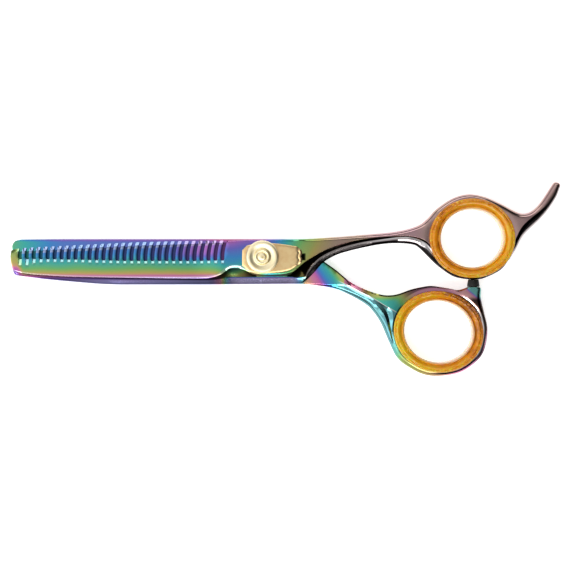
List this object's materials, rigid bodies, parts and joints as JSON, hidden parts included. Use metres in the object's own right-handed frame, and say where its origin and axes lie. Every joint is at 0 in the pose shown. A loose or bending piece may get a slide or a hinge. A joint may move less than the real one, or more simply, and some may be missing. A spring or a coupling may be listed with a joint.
{
  "type": "thinning shears",
  "caption": "Hairdresser's thinning shears with a toothed and a straight blade, offset finger rings, a finger tang and a tension dial on the pivot.",
  "frame": {"origin": "on the pivot axis, in the plane that the shears rest on: the flat back of the pivot bolt's head", "axes": "+Z along the pivot axis, from the bolt's back head to the tension dial; -X from the pivot along the closed blades to their tips; +Y from the thumb ring towards the finger ring"},
  "size_m": [0.165, 0.0581, 0.0102],
  "materials": {
    "toothed_half_coating": "mirror-polished stainless steel with a rainbow interference coating that runs from olive and green through blue and violet to mauve",
    "straight_half_coating": "mirror-polished stainless steel with a rainbow interference coating that runs from teal through blue and pink to green and olive",
    "bolt_steel": "pale gold plated steel, polished",
    "washer_ptfe": "waxy white low-friction plastic",
    "spring_plate_gold": "brushed spring steel with a tan gold plating",
    "dial_gold": "pale champagne gold plating, turned and polished",
    "amber_insert": "glossy translucent amber soft plastic",
    "bumper_rubber": "matt black moulded rubber"
  },
  "bodies": {
    "finger_side": {"toothed_half": "toothed_half_coating", "pivot_bolt": "bolt_steel", "leaf_spring": "spring_plate_gold", "finger_insert": "amber_insert"},
    "thumb_side": {"straight_half": "straight_half_coating", "thumb_insert": "amber_insert", "bumper": "bumper_rubber", "glide_washer": "washer_ptfe"},
    "dial": {"tension_dial": "dial_gold"}
  },
  "joints": [
    {"name": "blade_pivot", "type": "hinge", "parent": "finger_side", "child": "thumb_side", "pos_m": [0, 0, 0.00375], "axis": [0, 0, -1], "range_deg": [0, 125]},
    {"name": "dial_turn", "type": "hinge", "parent": "finger_side", "child": "dial", "pos_m": [0, 0, 0.0085], "axis": [0, 0, 1], "range_deg": [-90, 90]}
  ]
}
